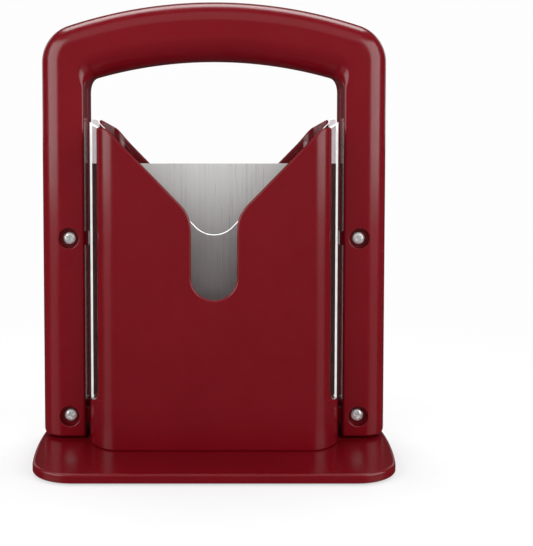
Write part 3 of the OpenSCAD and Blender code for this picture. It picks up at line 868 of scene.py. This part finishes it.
def make_blade():
    xs = [EDGE_HALF * i / 96 for i in range(-96, 97)]
    shoulder, neck = LOW_TOP + 0.15, FRAME_IN + 0.3
    side = [(EDGE_HALF, shoulder), (neck, shoulder), (neck, BLADE_LOW), (BLADE_OUT, BLADE_LOW)]
    side.append((BLADE_OUT, BLADE_TOP))
    outline = [(x, edge_height(x, 1)) for x in xs] + side + [(-x, z) for x, z in reversed(side)]
    steps = inward(outline, closed=True)
    count = len(xs)

    def rim(i, inset, y):
        (x, z), n = outline[i], steps[i]
        return (x + n[0] * inset, y, z + n[1] * inset)

    shape = Shape()
    for way in (-1, 1):
        face = [rim(i, 0 if i < count else CHAMFER, way * BLADE_HALF) for i in range(len(outline))]
        shape.face(face)
        shape.grid([[(x, way * EDGE_THIN, edge_height(x, 0)) for x in xs], face[:count]])
    shape.grid([[(x, way * EDGE_THIN, edge_height(x, 0)) for x in xs] for way in (-1, 1)])
    full, less = BLADE_HALF, BLADE_HALF - CHAMFER
    rims = [(CHAMFER, -full), (0, -less), (0, less), (CHAMFER, full)]
    rows = [[rim(i, inset, y) for i in range(count, len(outline))] for inset, y in rims]
    shape.grid(rows)
    for end, j in ((EDGE_HALF, 0), (-EDGE_HALF, -1)):
        low, high = edge_height(end, 0), edge_height(end, 1)
        ring = [(end, -EDGE_THIN, low), (end, EDGE_THIN, low), (end, BLADE_HALF, high)]
        ring += [row[j] for row in reversed(rows)] + [(end, -BLADE_HALF, high)]
        shape.face(ring)
    obj = shape.object("blade", 20)
    holes = Shape()
    for side in (-1, 1):
        for _, z in SCREW_ZS:
            holes.lathe([(2.0, -2), (2.0, 2)], along_y(side * SCREW_X, z), 32)
            holes.lathe([(PIN_R + 0.15, -2), (PIN_R + 0.15, 2)], along_y(side * PIN_X, z), 24)
    cut(obj, holes, angle=20)
    for face in obj.data.polygons:
        x, z = face.center.x / MM, face.center.z / MM
        ground = abs(x) < EDGE_HALF + 0.5 and z < edge_height(x, 1) - 0.3
        face.material_index = int(ground)
    return piece(obj, ["blade"], "carriage", "blade_steel", STEEL, GROUND)


make_blade()


# Crumb tray, glides and small screws

def prism(shape, outline, y0, y1):
    rows = [[(x, y, z) for x, z in outline] for y in (y0, y1)]
    shape.grid(rows, closed=True)
    shape.face(rows[0])
    shape.face(rows[1])


TRAY_TOP, TRAY_HALF, TRAY_FLAT, TRAY_RISE, TRAY_DEEP = 24.0, 58.0, 40.0, 9.0, 24
GROOVE_HALF, GROOVE_DEEP = 1.2, 0.8


def make_tray():
    shape = Shape()
    run = TRAY_HALF - TRAY_FLAT
    cradle = [(TRAY_HALF, BASE_TOP), (TRAY_HALF, TRAY_TOP + TRAY_RISE)]
    for t in spread(0, 1, 8):
        x = TRAY_HALF - run * (0.35 * smooth(t) + 0.65 * t)
        cradle.append((x, TRAY_TOP + TRAY_RISE * (1 - smooth(t))))
    prism(shape, cradle + [(-x, z) for x, z in reversed(cradle)], -TRAY_DEEP, TRAY_DEEP)
    obj = shape.object("crumb_tray")
    slot = Shape()
    slot.box((-TRAY_HALF - 12, -1.6, 8.2), (TRAY_HALF + 12, 1.6, 50))
    cut(obj, slot)
    grooves = Shape()
    for x in range(-36, 37, 12):
        for y in (-13, 13):
            low = (x - GROOVE_HALF, y - 8, TRAY_TOP - GROOVE_DEEP)
            grooves.box(low, (x + GROOVE_HALF, y + 8, TRAY_TOP + 1))
    cut(obj, grooves)
    bevel(obj, 0.45, 3)
    return piece(obj, ["crumb_tray"], "base", "body_plastic", BODY)


make_tray()


def along_side(shape, side, near, far, deep, z, tall):
    """A box beside the middle plane, between two distances out on one side."""
    low, high = sorted((side * near, side * far))
    shape.box((low, -deep, z - tall), (high, deep, z + tall))


def make_glide(name, side, z):
    """A block in the leg with room for the flange's end, a slit for the blade and a pin through it."""
    shape, room, slit, pin = Shape(), Shape(), Shape(), Shape()
    along_side(shape, side, 70.8, 76.0, 9, z, 4)
    obj = shape.object(name)
    along_side(room, side, 69.8, FRAME_IN, 5.2, z, 5)
    cut(obj, room)
    along_side(slit, side, 69.8, 77.0, 0.7, z, 5)
    cut(obj, slit)
    pin.lathe([(PIN_R, -5.3), (PIN_R, 5.3)], along_y(side * PIN_X, z), 24)
    cut(obj, pin, join=True)
    bevel(obj, 0.3, 2)
    piece(obj, [name], "carriage", "frame_plastic", FRAME)


for level, z in SCREW_ZS:
    for side, word in ((-1, "left"), (1, "right")):
        make_glide("glide_" + level + "_" + word, side, z)


def floor_screws(name, spots):
    """Screws that point up into the object, with cross recesses in their heads."""
    head, whole = BASE_LOW + 0.15, Shape()
    profile = [(0, 13.8), (1.4, 13.8), (1.4, 1.8), (3.1, 1.8), (3.2, 1.6), (3.2, 0.25), (2.95, 0), (0, 0)]
    for x, y in spots:
        whole.lathe([(r, head + h) for r, h in profile], along_z(x, y), 40)
    obj = whole.object(name, 40)
    for wide, deep in ((1.8, 0.47), (0.47, 1.8)):
        marks = Shape()
        for x, y in spots:
            marks.box((x - wide, y - deep, 0), (x + wide, y + deep, head + 1.3))
        cut(obj, marks)
    return piece(obj, [name], "base", "screw_steel", CHROME)


floor_screws("base_screws", SHELL_SCREWS)
floor_screws("tray_screws", TRAY_SCREWS)


# Floor, lights and camera

WHITE = 0.985
scene = bpy.context.scene
scene.view_settings.view_transform = "Standard"
scene.cycles.use_denoising = True
scene.cycles.max_bounces = 12
scene.cycles.transparent_max_bounces = 24


def make_floor():
    """A pale floor that keeps the shadow near the object and fades to plain white further out."""
    mesh = bpy.data.meshes.new("floor")
    s = 9.0
    mesh.from_pydata([(-s, -s, 0), (s, -s, 0), (s, s, 0), (-s, s, 0)], [], [(0, 1, 2, 3)])
    obj = bpy.data.objects.new("floor", mesh)
    scene.collection.objects.link(obj)
    n = Nodes("floor_paper")
    paper = n.mix(n.span(n.noise(40, 2), 0, 1), (0.89, 0.89, 0.89), (0.91, 0.91, 0.91))
    bounce = n.add("BsdfDiffuse")
    bounce.inputs["Color"].default_value = (0.62, 0.62, 0.62, 1)
    plain = n.add("Emission")
    plain.inputs["Color"].default_value = (WHITE, WHITE, WHITE, 1)
    plain.inputs["Strength"].default_value = 1.0
    away = n.tree.nodes.new("ShaderNodeVectorMath")
    away.operation = "LENGTH"
    n.tree.links.new(n.coords.outputs["Object"], away.inputs[0])
    fade = n.span(away.outputs["Value"], 0.55, 1.0, 0.16, 0.45)
    shown = n.blend(fade, n.add("BsdfDiffuse", color=paper).outputs[0], plain.outputs[0])
    seen = n.add("LightPath").outputs["Is Camera Ray"]
    mesh.materials.append(n.surface(n.blend(seen, bounce.outputs[0], shown)))
    obj.visible_glossy = False


make_floor()


def soft_light(name, at, aim, wide, tall, power, shine=True):
    """An area light that the camera doesn't see, and without shine no glossy surface either."""
    data = bpy.data.lights.new(name, "AREA")
    data.shape = "RECTANGLE"
    data.size, data.size_y = wide, tall
    data.energy = power
    obj = bpy.data.objects.new(name, data)
    scene.collection.objects.link(obj)
    obj.location = at
    obj.rotation_euler = (Vector(aim) - Vector(at)).to_track_quat("-Z", "Y").to_euler()
    obj.visible_camera = False
    obj.visible_glossy = shine


MIDDLE = (0, 0, 0.12)
soft_light("key", (0, -1.0, 1.2), MIDDLE, 1.6, 1.0, 3.2)
soft_light("fill", (0, -1.8, 0.3), MIDDLE, 1.6, 1.0, 9.5, shine=False)
for side, word in ((-1, "left"), (1, "right")):
    soft_light(word, (side * 0.95, -0.54, 0.58), (0, 0, 0.25), 1.0, 0.9, 9.5)
    soft_light(word + "_low", (side * 0.95, -0.54, -0.2), (0, 0, 0.1), 0.8, 0.6, 0.6)
    soft_light(word + "_back", (side * 1.05, 1.55, 0.75), (0, 0, 0.3), 0.8, 0.9, 2.0)
soft_light("top", (0, 0.33, 1.2), MIDDLE, 1.3, 0.45, 9)
soft_light("back", (0, 1.7, 0.4), MIDDLE, 3.4, 2.4, 13, shine=False)

world = bpy.data.worlds.new("studio")
scene.world = world
world.use_nodes = True
tree = world.node_tree
tree.nodes.clear()
output = tree.nodes.new("ShaderNodeOutputWorld")
ray = tree.nodes.new("ShaderNodeLightPath")


def glow(level):
    node = tree.nodes.new("ShaderNodeBackground")
    node.inputs["Color"].default_value = (level, level, level, 1)
    return node.outputs[0]


def choose(test, other, chosen):
    node = tree.nodes.new("ShaderNodeMixShader")
    tree.links.new(ray.outputs[test], node.inputs[0])
    tree.links.new(other, node.inputs[1])
    tree.links.new(chosen, node.inputs[2])
    return node.outputs[0]


light = choose("Is Glossy Ray", glow(0.16), glow(0.04))
tree.links.new(choose("Is Camera Ray", light, glow(WHITE)), output.inputs["Surface"])

camera_data = bpy.data.cameras.new("camera")
camera_data.sensor_width = 36
camera_data.lens = 50.62
camera_data.shift_x = 0.0961
camera_data.shift_y = -0.088
camera = bpy.data.objects.new("camera", camera_data)
scene.collection.objects.link(camera)
camera.location = (0, -0.4415, 0.1431)
camera.rotation_euler = (radians(90 - 2.258), 0, 0)
scene.camera = camera
